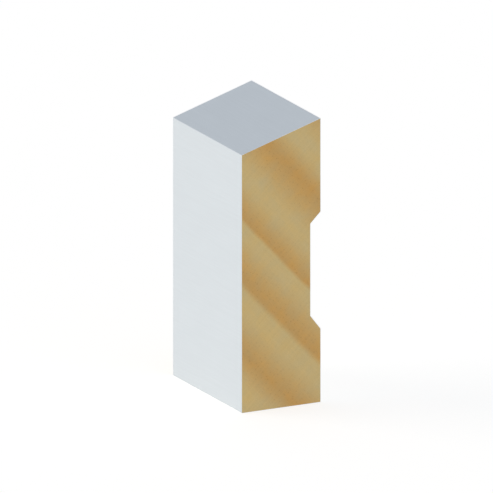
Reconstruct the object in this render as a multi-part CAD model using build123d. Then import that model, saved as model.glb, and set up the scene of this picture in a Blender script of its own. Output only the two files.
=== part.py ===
from build123d import *

import os
from math import radians, tan

# A short length of bevel-edge pine moulding, standing on its square edge.
#
# It is one stick of pine: a section that a moulder runs on four sides, sawn square at both ends.
# The section lies in the YZ plane and is carried along X, the way the grain runs.
# The front face looks along -Y, the back goes to the wall at +Y, and Z is up.
# The origin is the middle of the square edge that the stick stands on.

# Overall sizes, in millimetres
LENGTH = 32.5  # sawn end to sawn end
THICKNESS = 19.0  # front face to back lands, 3/4 in stock
BACK_HEIGHT = 63.5  # square edge to the tip of the bevelled edge, 2 1/2 in stock
BEVEL_ANGLE = 17.0  # degrees that the bevelled edge falls, from the back down to the front

# Relief channel along the back, between the two lands that meet the wall
LOWER_LAND = 16.45
UPPER_LAND = 20.9
RELIEF_DEPTH = 2.45
LOWER_SHOULDER = 3.15  # height of the slope from the lower land into the channel
UPPER_SHOULDER = 2.4  # height of the slope from the channel out to the upper land

# Rounding of the section's corners
ARRIS_RADIUS = 0.1  # outer edges, sharp from the knives and just broken by the sander
KNIFE_RADIUS = 0.4  # inner corners of the channel, left by the knife's nose


def moulded_section():
    """The section that the knives cut: flat front, bevelled top, square foot and relieved back."""
    front = -THICKNESS / 2
    back = THICKNESS / 2
    channel = back - RELIEF_DEPTH
    front_height = BACK_HEIGHT - THICKNESS * tan(radians(BEVEL_ANGLE))
    upper_land_foot = BACK_HEIGHT - UPPER_LAND

    rounded_corners = [
        ((front, 0), ARRIS_RADIUS),
        ((back, 0), ARRIS_RADIUS),
        ((back, LOWER_LAND), ARRIS_RADIUS),
        ((channel, LOWER_LAND + LOWER_SHOULDER), KNIFE_RADIUS),
        ((channel, upper_land_foot - UPPER_SHOULDER), KNIFE_RADIUS),
        ((back, upper_land_foot), ARRIS_RADIUS),
        ((back, BACK_HEIGHT), ARRIS_RADIUS),
        ((front, front_height), ARRIS_RADIUS),
    ]
    corners, radii = zip(*rounded_corners)
    return make_face(FilletPolyline(*corners, radius=radii, close=True))


def moulding():
    """The section carried along the grain, half to each side of the origin."""
    return extrude(Plane.YZ * moulded_section(), LENGTH / 2, both=True)


os.makedirs("parts", exist_ok=True)
export_step(moulding(), "parts/moulding.step")
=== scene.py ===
from math import cos, pi, radians, sin, tan

import bpy
import numpy as np
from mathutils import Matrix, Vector


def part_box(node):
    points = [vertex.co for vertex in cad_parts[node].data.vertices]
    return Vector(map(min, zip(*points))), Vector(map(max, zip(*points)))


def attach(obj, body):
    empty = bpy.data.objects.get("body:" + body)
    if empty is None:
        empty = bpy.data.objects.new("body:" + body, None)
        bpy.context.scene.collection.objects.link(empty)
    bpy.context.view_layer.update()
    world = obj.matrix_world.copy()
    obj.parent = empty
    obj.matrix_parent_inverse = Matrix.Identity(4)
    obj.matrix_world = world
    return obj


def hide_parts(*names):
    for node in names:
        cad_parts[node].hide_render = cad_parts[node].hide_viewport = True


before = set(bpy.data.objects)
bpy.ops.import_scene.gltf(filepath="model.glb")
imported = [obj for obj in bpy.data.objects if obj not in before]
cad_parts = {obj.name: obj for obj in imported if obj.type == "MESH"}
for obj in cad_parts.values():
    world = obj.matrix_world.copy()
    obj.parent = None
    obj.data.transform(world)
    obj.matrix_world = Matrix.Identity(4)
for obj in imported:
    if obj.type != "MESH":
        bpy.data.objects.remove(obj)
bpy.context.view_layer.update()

# A short length of bevel-edge pine moulding: white primer on the long faces, bare sawn pine on the ends.
# X runs along the grain, the front face looks along -Y, the back is at +Y, and Z is up.

# Section of the moulding, in metres
MM = 0.001
low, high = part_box("moulding")
LENGTH = high.x - low.x
THICKNESS = high.y - low.y
BEVEL_ANGLE = radians(17.0)
ARRIS_RADIUS = 0.1 * MM
KNIFE_RADIUS = 0.4 * MM
TIP_LOST_TO_EASING = ARRIS_RADIUS * (tan(BEVEL_ANGLE) + 1 / cos(BEVEL_ANGLE) - 1)
BACK_HEIGHT = high.z + TIP_LOST_TO_EASING
LOWER_LAND = 16.45 * MM
UPPER_LAND = 20.9 * MM
RELIEF_DEPTH = 2.45 * MM
LOWER_SHOULDER = 3.15 * MM
UPPER_SHOULDER = 2.4 * MM

# Fineness of the mesh
GRID_SPACING = 0.27 * MM
EDGE_STEP = 0.07 * MM  # narrow step beside an eased corner, which keeps its shading off the flat faces
ARC_STEPS = 4
FILM_CELLS = ARC_STEPS // 2  # cells round a sawn end that show the primer's thickness
LENGTH_STEPS = 12
SHARP_EDGE = radians(40.0)

# Growth rings, seen on the sawn ends, in millimetres.
# Depth is counted from the front foot of the section towards the pith, which lies far up behind the back.
PITH_TILT = radians(43.0)
PITH_DISTANCE = 900.0
RING_MIDDLE = 14.0
# Each ring's latewood, by depth: it starts, it is full, it is still full, and it has faded
GROWTH_RINGS = (
    (4.2, 9.3, 9.3, 15.9),
    (18.7, 20.2, 20.8, 27.3),
    (28.9, 29.85, 29.95, 35.4),
    (37.0, 44.5, 45.0, 49.5),
    (51.9, 59.6, 60.0, 64.5),
)
# Waves of the rings: height, turn for each mm across, turn for each mm of depth, start
RING_WAVES = (
    (0.06, 0.42, 0.05, 0.8),
    (0.03, 1.15, 0.20, 2.1),
)

# Fine figure of the sawn wood, in millimetres: size of a lump along the grain, in depth and across
TINT_CLOUD = (40.0, 3.5, 3.5)
CELL_ROW = (3.0, 0.4, 4.5)
RAY = (3.0, 8.0, 0.3)
SAWN_FUZZ = (0.25, 0.25, 0.25)
CANAL_SPACING = 1.3
CANAL_RADIUS = 0.2

# How strongly the fine figure colours and shades the sawn wood
EARLYWOOD_CLOUD = 1.0
LATEWOOD_CLOUD = 1.6
EARLYWOOD_CANALS = 0.2
CANAL_STAIN = 0.45
CELL_ROW_STAIN = 0.12
CELL_ROW_SHADE = 0.09
RAY_SHADE = 0.10
FUZZ_SHADE = 0.15

# Relief of the sawn ends, in millimetres
EARLYWOOD_SINK = 0.02
SAW_DEPTH = 0.004
SAW_PITCH = 1.7
SAW_ARBOR = (-70.0, -95.0)
FUZZ_HEIGHT = 0.012
RAY_HEIGHT = 0.006
CANAL_DEPTH = 0.03

# Primer, in millimetres: size of a lump along the grain, in depth and across, and heights
MOTTLE = (8.0, 5.0, 5.0)
PEEL = (0.6, 0.6, 0.6)
FIBRE = (12.0, 0.4, 0.4)
PEEL_HEIGHT = 0.006
FIBRE_HEIGHT = 0.008
RING_TELL = 0.002

# How strongly the mottle and the fibres shade the primer and change its gloss
MOTTLE_SHADE = 0.03
FIBRE_SHADE = 0.05
MOTTLE_GLOSS = 0.10

# Gloss
EARLYWOOD_ROUGHNESS = 0.78
LATEWOOD_ROUGHNESS = 0.68
WOOD_SPECULAR = 0.25
PRIMER_ROUGHNESS = 0.60
PRIMER_SPECULAR = 0.35

# Colours, as linear light
PRIMER = (0.800, 0.832, 0.830)
EARLYWOOD = (0.694, 0.512, 0.223)
LATEWOOD = (0.637, 0.374, 0.118)
RESIN = (0.420, 0.210, 0.060)
STRAW_TINT = (0.93, 1.00, 1.16)
AMBER_TINT = (1.08, 1.00, 0.83)
WHITE = (1.0, 1.0, 1.0)
SKY = (0.425, 0.460, 0.523)

# Floor: its side in metres, its level once lit, and how pale it is
FLOOR_SIDE = 12.0
FLOOR_LEVEL = 1.0
FLOOR_PALENESS = 0.5

# Key light, soft, from the front and left
KEY_AZIMUTH = radians(-36.0)
KEY_ELEVATION = radians(25.0)
KEY_STRENGTH = 0.727
KEY_SPREAD = radians(40.0)

# View of the photograph
VIEW_AZIMUTH = radians(63.0)
VIEW_ELEVATION = radians(16.25)
VIEW_WIDTH = 105.8 * MM
VIEW_CENTRE = Vector((-0.03, -0.06, 31.81)) * MM
VIEW_DISTANCE = 1.0


class Value:
    """A shader socket that takes part in Python sums: each operator adds a Math node."""

    def __init__(self, sheet, socket):
        self.sheet = sheet
        self.socket = socket

    def math(self, operation, *others):
        return self.sheet.math(operation, self, *others)

    def __add__(self, other):
        return self.math("ADD", other)

    def __radd__(self, other):
        return self.sheet.math("ADD", other, self)

    def __sub__(self, other):
        return self.math("SUBTRACT", other)

    def __rsub__(self, other):
        return self.sheet.math("SUBTRACT", other, self)

    def __mul__(self, other):
        return self.math("MULTIPLY", other)

    def __rmul__(self, other):
        return self.sheet.math("MULTIPLY", other, self)

    def __truediv__(self, other):
        return self.math("DIVIDE", other)

    def __rtruediv__(self, other):
        return self.sheet.math("DIVIDE", other, self)


class NodeSheet:
    """The node tree of one finish, filled by calls."""

    def __init__(self, tree):
        self.tree = tree
        tree.nodes.clear()

    def node(self, kind, settings, sockets, output=None):
        """One node: its settings first, then a value or a link on each socket.

        Gives the output that is named, or else the node."""
        made = self.tree.nodes.new(kind)
        for name, setting in settings.items():
            setattr(made, name, setting)
        for name, given in sockets.items():
            socket = next(s for s in made.inputs if s.identifier == name)
            if isinstance(given, Value):
                self.tree.links.new(given.socket, socket)
            else:
                socket.default_value = given
        if output is None:
            return made
        return Value(self, next(s for s in made.outputs if s.identifier == output))

    def math(self, operation, *terms):
        """A sum of one or two terms."""
        sockets = dict(zip(("Value", "Value_001"), terms))
        return self.node("ShaderNodeMath", {"operation": operation}, sockets, "Value")

    def mix(self, share, first, second):
        """Colour that goes from the first to the second as share goes from 0 to 1."""
        sockets = {"Factor_Float": share, "A_Color": first, "B_Color": second}
        return self.node("ShaderNodeMix", {"data_type": "RGBA"}, sockets, "Result_Color")

    def tinted(self, colour, tint):
        """Colour times a tint, channel by channel."""
        sockets = {"Vector": colour, "Vector_001": tint}
        return self.node("ShaderNodeVectorMath", {"operation": "MULTIPLY"}, sockets, "Vector")

    def shade(self, colour, factor):
        """Colour made lighter or darker by a factor."""
        sockets = {"Vector": colour, "Scale": factor}
        return self.node("ShaderNodeVectorMath", {"operation": "SCALE"}, sockets, "Vector")

    def object_place(self):
        """Place on the piece, in metres."""
        return self.node("ShaderNodeTexCoord", {}, {}, "Object")

    def mapped(self, place, scale, turn=(0, 0, 0), shift=(0, 0, 0)):
        """Place that is scaled, then turned, then shifted."""
        sockets = {"Vector": place, "Scale": scale, "Rotation": turn, "Location": shift}
        return self.node("ShaderNodeMapping", {"vector_type": "POINT"}, sockets, "Vector")

    def parts(self, place):
        """The three numbers of a place."""
        split = self.node("ShaderNodeSeparateXYZ", {}, {"Vector": place})
        return [Value(self, socket) for socket in split.outputs]

    def noise(self, place, lump):
        """Soft noise from -0.5 to 0.5, in lumps of the given size along each axis of the place."""
        stretched = self.mapped(place, tuple(1 / size for size in lump))
        return self.node("ShaderNodeTexNoise", {}, {"Vector": stretched, "Scale": 1.0}, "Fac") - 0.5

    def dots(self, first, second, spacing, radius):
        """Scattered round dots on two numbers of a place: 1 at a dot's middle, 0 from its radius outwards."""
        flat = self.node("ShaderNodeCombineXYZ", {}, {"X": first / spacing, "Y": second / spacing}, "Vector")
        sockets = {"Vector": flat, "Scale": 1.0}
        away = self.node("ShaderNodeTexVoronoi", {"voronoi_dimensions": "2D"}, sockets, "Distance")
        return clipped(1 - away * (spacing / radius))

    def bump(self, height):
        """Surface direction for a height in millimetres."""
        return self.node("ShaderNodeBump", {}, {"Height": height, "Distance": MM}, "Normal")

    def surface(self, sockets):
        """Ends a material's sheet: its shader, with what each socket takes, and the output."""
        shader = self.node("ShaderNodeBsdfPrincipled", {}, sockets, "BSDF")
        self.node("ShaderNodeOutputMaterial", {}, {"Surface": shader})


# Sums that work on shader values and on numpy arrays

def clipped(number):
    """A number held between 0 and 1."""
    if isinstance(number, Value):
        return number.math("MINIMUM", 1.0).math("MAXIMUM", 0.0)
    return np.clip(number, 0, 1)


def lesser(first, second):
    """The smaller of two numbers."""
    return first.math("MINIMUM", second) if isinstance(first, Value) else np.minimum(first, second)


def wave(angle):
    """The sine of an angle."""
    return angle.math("SINE") if isinstance(angle, Value) else np.sin(angle)


def between(first, second, share):
    """Straight blend from the first to the second as share goes from 0 to 1."""
    return first + (second - first) * share


def soft_fade(number):
    """Fade from 0 to 1, halfway between a straight one and a smooth step."""
    held = clipped(number)
    smooth = held * held * (3 - 2 * held)
    return (held + smooth) * 0.5


def ring_depth(depth, across):
    """Depth counted along the rings.

    The rings are bent round the pith by across squared over twice its distance, and waved by a few sines."""
    off_middle = across - RING_MIDDLE
    bent = depth - off_middle * off_middle / (2 * PITH_DISTANCE)
    for height, turn_across, turn_depth, start in RING_WAVES:
        bent = bent + height * wave(across * turn_across + depth * turn_depth + start)
    return bent


def latewood_share(depth, across):
    """Latewood, from 0 to 1.

    Each ring fades in from the bark's side, stays full, and fades out towards the pith."""
    bent = ring_depth(depth, across)
    share = 0.0
    for start, full, still_full, faded in GROWTH_RINGS:
        bark_side = (bent - start) / (full - start)
        pith_side = (faded - bent) / (faded - still_full)
        share = share + soft_fade(lesser(bark_side, pith_side))
    return share


# Section and mesh

def section_corners():
    """The section's sharp corners and the radius that eases each.

    They run anticlockwise seen from +X, from the front foot."""
    front = -THICKNESS / 2
    back = THICKNESS / 2
    channel = back - RELIEF_DEPTH
    upper_land_foot = BACK_HEIGHT - UPPER_LAND
    corners = [
        (front, 0),
        (back, 0),
        (back, LOWER_LAND),
        (channel, LOWER_LAND + LOWER_SHOULDER),
        (channel, upper_land_foot - UPPER_SHOULDER),
        (back, upper_land_foot),
        (back, BACK_HEIGHT),
        (front, BACK_HEIGHT - THICKNESS * tan(BEVEL_ANGLE)),
    ]
    radii = [ARRIS_RADIUS] * 3 + [KNIFE_RADIUS] * 2 + [ARRIS_RADIUS] * 3
    return np.array(corners), radii


def corner_arc(corners, radii, index, start, end):
    """Points on the arc that eases a corner, from one share of its turn to another.

    The arc's centre lies on the corner's bisector, radius over the sine of half the corner's angle away.
    A point is the slerp of the two spokes that end on the straight runs."""
    corner = corners[index]
    to_last = corners[index - 1] - corner
    to_next = corners[(index + 1) % len(corners)] - corner
    to_last = to_last / np.linalg.norm(to_last)
    to_next = to_next / np.linalg.norm(to_next)
    half_angle = np.arccos(to_last @ to_next) / 2
    bisector = (to_last + to_next) / np.linalg.norm(to_last + to_next)
    centre = corner + bisector * radii[index] / np.sin(half_angle)
    reach = radii[index] / np.tan(half_angle)
    first_spoke = corner + to_last * reach - centre
    last_spoke = corner + to_next * reach - centre
    turn = np.pi - 2 * half_angle
    steps = round(ARC_STEPS * (end - start))
    share = np.linspace(start, end, steps + 1)[:, None]
    from_first = np.sin((1 - share) * turn) * first_spoke
    from_last = np.sin(share * turn) * last_spoke
    return centre + (from_first + from_last) / np.sin(turn)


def section_side(corners, radii, first, last, run_steps=None):
    """One side of the section, from the middle of its first corner's arc to the middle of its last one's.

    A straight run has a narrow step at each end, and even steps between them.
    It has run_steps in all, or else about as many as the grid's spacing gives."""
    points = corner_arc(corners, radii, first, 0.5, 1.0)
    for index in range(first + 1, last + 1):
        end = 0.5 if index == last else 1.0
        arc = corner_arc(corners, radii, index % len(corners), 0.0, end)
        run = arc[0] - points[-1]
        run_length = np.linalg.norm(run)
        edge_step = run * EDGE_STEP / run_length
        steps = run_steps or round(run_length / GRID_SPACING)
        middle = np.linspace(points[-1] + edge_step, arc[0] - edge_step, steps - 1)
        points = np.concatenate([points, middle, arc])
    return points


def end_grid():
    """Grid of points over the section, columns from front to back and rows from foot to top.

    It is a Coons patch: the blend of the foot and top sides, plus the blend of the front and back sides,
    less the blend of the four corners."""
    corners, radii = section_corners()
    back = section_side(corners, radii, 1, 6)
    front = section_side(corners, radii, 7, 8, len(back) - 1 - ARC_STEPS)[::-1]
    foot = section_side(corners, radii, 0, 1)
    top = section_side(corners, radii, 6, 7, len(foot) - 1 - ARC_STEPS)[::-1]
    backward = ((foot[:, 0] - foot[0, 0]) / (foot[-1, 0] - foot[0, 0]))[:, None, None]
    upward = ((front[:, 1] - front[0, 1]) / (front[-1, 1] - front[0, 1]))[None, :, None]
    foot_to_top = between(foot[:, None], top[:, None], upward)
    front_to_back = between(front[None], back[None], backward)
    front_corners = between(foot[0], top[0], upward)
    back_corners = between(foot[-1], top[-1], upward)
    return foot_to_top + front_to_back - between(front_corners, back_corners, backward)


def end_relief(y, z):
    """How far a sawn end lies below its highest point.

    Earlywood sinks by its share, and the saw leaves a sine of the distance from its arbor."""
    from_front = (y + THICKNESS / 2) / MM
    height = z / MM
    depth = cos(PITH_TILT) * from_front + sin(PITH_TILT) * height
    across = cos(PITH_TILT) * height - sin(PITH_TILT) * from_front
    sunk = EARLYWOOD_SINK * (1 - latewood_share(depth, across))
    saw_radius = np.hypot(y / MM - SAW_ARBOR[0], height - SAW_ARBOR[1])
    sawn = SAW_DEPTH * (0.5 + 0.5 * np.sin(2 * pi * saw_radius / SAW_PITCH))
    return (sunk + sawn) * MM


def grid_faces(table):
    """Four-cornered faces between the rows and columns of a table of vertex numbers."""
    quads = np.stack([table[:-1, :-1], table[1:, :-1], table[1:, 1:], table[:-1, 1:]], axis=-1)
    return quads.reshape(-1, 4)


def film_cells(columns, rows):
    """True for the cells round the edge of a grid that show the primer's thickness."""
    edge = np.ones((columns - 1, rows - 1), bool)
    edge[FILM_CELLS:-FILM_CELLS, FILM_CELLS:-FILM_CELLS] = False
    return edge.ravel()


def stick_surface():
    """Points and faces of the stick, and which of its faces are primed.

    Each sawn end is the section's grid, sunk by its relief.
    The long faces are the grid's outline, carried straight along the grain from the left end to the right."""
    grid = end_grid()
    columns, rows = grid.shape[:2]
    flat = grid.reshape(-1, 2)
    relief = end_relief(flat[:, 0], flat[:, 1])
    right_end = np.column_stack([LENGTH / 2 - relief, flat])
    left_end = np.column_stack([relief - LENGTH / 2, flat])

    numbers = np.arange(columns * rows).reshape(columns, rows)
    outline = np.concatenate([numbers[:-1, 0], numbers[-1, :-1], numbers[:0:-1, -1], numbers[0, :0:-1]])
    share = np.linspace(0, 1, LENGTH_STEPS + 1)[1:-1, None, None]
    loops = between(left_end[outline], right_end[outline], share)
    points = np.concatenate([right_end, left_end, loops.reshape(-1, 3)])

    first_loop = 2 * len(flat)
    loop_numbers = first_loop + np.arange(loops.shape[0] * loops.shape[1]).reshape(loops.shape[:2])
    wall_table = np.vstack([outline + len(flat), loop_numbers, outline])
    wall_table = np.column_stack([wall_table, wall_table[:, 0]])
    right_faces = grid_faces(numbers)
    left_faces = grid_faces(numbers + len(flat))[:, ::-1]
    wall_faces = grid_faces(wall_table)[:, ::-1]
    faces = np.concatenate([right_faces, left_faces, wall_faces])

    film = film_cells(columns, rows)
    primed = np.concatenate([film, film, np.ones(len(wall_faces), bool)])
    return points, faces, primed


def placed(name, data):
    """A new object in the scene, at the origin."""
    made = bpy.data.objects.new(name, data)
    bpy.context.scene.collection.objects.link(made)
    return made


def moulding_piece():
    """The moulding as one closed mesh, with primer on its long faces and bare pine on its sawn ends."""
    points, faces, primed = stick_surface()
    mesh = bpy.data.meshes.new("moulding_primed")
    mesh.from_pydata(points, [], faces)
    for finish in (white_primer(), sawn_pine()):
        mesh.materials.append(finish)
    finish_numbers = np.where(primed, 0, 1).astype(np.int32)
    mesh.polygons.foreach_set("material_index", finish_numbers)
    mesh.shade_smooth()
    mesh.set_sharp_from_angle(angle=SHARP_EDGE)
    mesh.update()
    return placed("moulding_primed", mesh)


# Finishes

def rgba(colour):
    """A colour with full alpha, as a colour socket takes it."""
    return (*colour, 1.0)


def new_sheet(name):
    """A new material and its empty node sheet."""
    material = bpy.data.materials.new(name)
    material.use_nodes = True
    return material, NodeSheet(material.node_tree)


def growth_place(sheet):
    """Place in the tree, in millimetres: along the grain, depth towards the pith, and across."""
    half = THICKNESS / MM / 2
    turn = (-PITH_TILT, 0, 0)
    shift = (0, half * cos(PITH_TILT), -half * sin(PITH_TILT))
    return sheet.mapped(sheet.object_place(), (1 / MM, 1 / MM, 1 / MM), turn, shift)


def sawn_pine():
    """Bare end grain: soft growth rings, patches of warmer wood, fine rays to the pith, and resin canals."""
    material, sheet = new_sheet("sawn_pine")
    place = growth_place(sheet)
    depth, across = sheet.parts(place)[1:]
    late = latewood_share(depth, across)

    cloud = sheet.noise(place, TINT_CLOUD)
    cell_rows = sheet.noise(place, CELL_ROW)
    rays = sheet.noise(place, RAY)
    fuzz = sheet.noise(place, SAWN_FUZZ)
    canals = sheet.dots(depth, across, CANAL_SPACING, CANAL_RADIUS) * between(EARLYWOOD_CANALS, 1.0, late)

    wood = sheet.mix(clipped(late + CELL_ROW_STAIN * cell_rows), rgba(EARLYWOOD), rgba(LATEWOOD))
    warmth = clipped(0.5 + between(EARLYWOOD_CLOUD, LATEWOOD_CLOUD, late) * cloud)
    wood = sheet.tinted(wood, sheet.mix(warmth, rgba(STRAW_TINT), rgba(AMBER_TINT)))
    wood = sheet.mix(CANAL_STAIN * canals, wood, rgba(RESIN))
    wood = sheet.shade(wood, 1 + RAY_SHADE * rays + CELL_ROW_SHADE * cell_rows + FUZZ_SHADE * fuzz)

    sheet.surface({
        "Base Color": wood,
        "Roughness": between(EARLYWOOD_ROUGHNESS, LATEWOOD_ROUGHNESS, late),
        "Normal": sheet.bump(FUZZ_HEIGHT * fuzz + RAY_HEIGHT * rays - CANAL_DEPTH * canals),
        "Specular IOR Level": WOOD_SPECULAR,
    })
    return material


def white_primer():
    """Matt white primer: a faint mottle, a fine orange peel, and the grain just telling through it."""
    material, sheet = new_sheet("white_primer")
    place = growth_place(sheet)
    depth, across = sheet.parts(place)[1:]
    late = latewood_share(depth, across)

    mottle = sheet.noise(place, MOTTLE)
    peel = sheet.noise(place, PEEL)
    fibres = sheet.noise(place, FIBRE)

    sheet.surface({
        "Base Color": sheet.shade(PRIMER, 1 + MOTTLE_SHADE * mottle + FIBRE_SHADE * fibres),
        "Roughness": PRIMER_ROUGHNESS + MOTTLE_GLOSS * mottle,
        "Normal": sheet.bump(PEEL_HEIGHT * peel + FIBRE_HEIGHT * fibres + RING_TELL * late),
        "Specular IOR Level": PRIMER_SPECULAR,
    })
    return material


# Stage

def direction(azimuth, elevation):
    """Unit vector from the object towards an azimuth and elevation.

    Azimuth 0 is in front, at -Y, and 90 degrees is at +X."""
    level = cos(elevation)
    return Vector((sin(azimuth) * level, -cos(azimuth) * level, sin(elevation)))


def facing_back(towards):
    """Turn of a lamp or a camera that faces the object from a direction."""
    return (-towards).to_track_quat("-Z", "Y").to_euler()


def light_table():
    """A wide pale floor that glows a little, as a product photographer's light table does.

    Its paleness undoes the sky's tint, so that a shadow stays grey.
    The glow lifts the lit floor to its level."""
    half = FLOOR_SIDE / 2
    corners = [(-half, -half, 0), (half, -half, 0), (half, half, 0), (-half, half, 0)]
    mesh = bpy.data.meshes.new("light_table")
    mesh.from_pydata(corners, [], [(0, 1, 2, 3)])
    key = KEY_STRENGTH * sin(KEY_ELEVATION) / pi
    pale = [FLOOR_PALENESS * min(SKY) / sky for sky in SKY]
    glow = [FLOOR_LEVEL - paleness * (sky + key) for paleness, sky in zip(pale, SKY)]
    material, sheet = new_sheet("light_table")
    sheet.surface({
        "Base Color": rgba(pale),
        "Roughness": 1.0,
        "Specular IOR Level": 0.0,
        "Emission Color": rgba(glow),
        "Emission Strength": 1.0,
    })
    mesh.materials.append(material)
    placed("light_table", mesh)


def studio_world():
    """Cool dim light from above the horizon, and plain white below it."""
    world = bpy.data.worlds.new("studio")
    world.use_nodes = True
    sheet = NodeSheet(world.node_tree)
    upward = sheet.parts(sheet.node("ShaderNodeTexCoord", {}, {}, "Generated"))[2]
    colour = sheet.mix(upward.math("GREATER_THAN", 0.0), rgba(WHITE), rgba(SKY))
    background = sheet.node("ShaderNodeBackground", {}, {"Color": colour}, "Background")
    sheet.node("ShaderNodeOutputWorld", {}, {"Surface": background})
    bpy.context.scene.world = world


def key_light():
    """A broad soft light from the front and left."""
    light = bpy.data.lights.new("key", "SUN")
    light.energy = KEY_STRENGTH
    light.angle = KEY_SPREAD
    lamp = placed("key", light)
    lamp.rotation_euler = facing_back(direction(KEY_AZIMUTH, KEY_ELEVATION))


def camera():
    """The photograph's parallel view."""
    lens = bpy.data.cameras.new("camera")
    lens.type = "ORTHO"
    lens.ortho_scale = VIEW_WIDTH
    eye = placed("camera", lens)
    towards = direction(VIEW_AZIMUTH, VIEW_ELEVATION)
    eye.location = VIEW_CENTRE + towards * VIEW_DISTANCE
    eye.rotation_euler = facing_back(towards)
    bpy.context.scene.camera = eye


moulding = moulding_piece()
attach(moulding, "root")
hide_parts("moulding")
light_table()
studio_world()
key_light()
camera()
bpy.context.scene.view_settings.view_transform = "Standard"
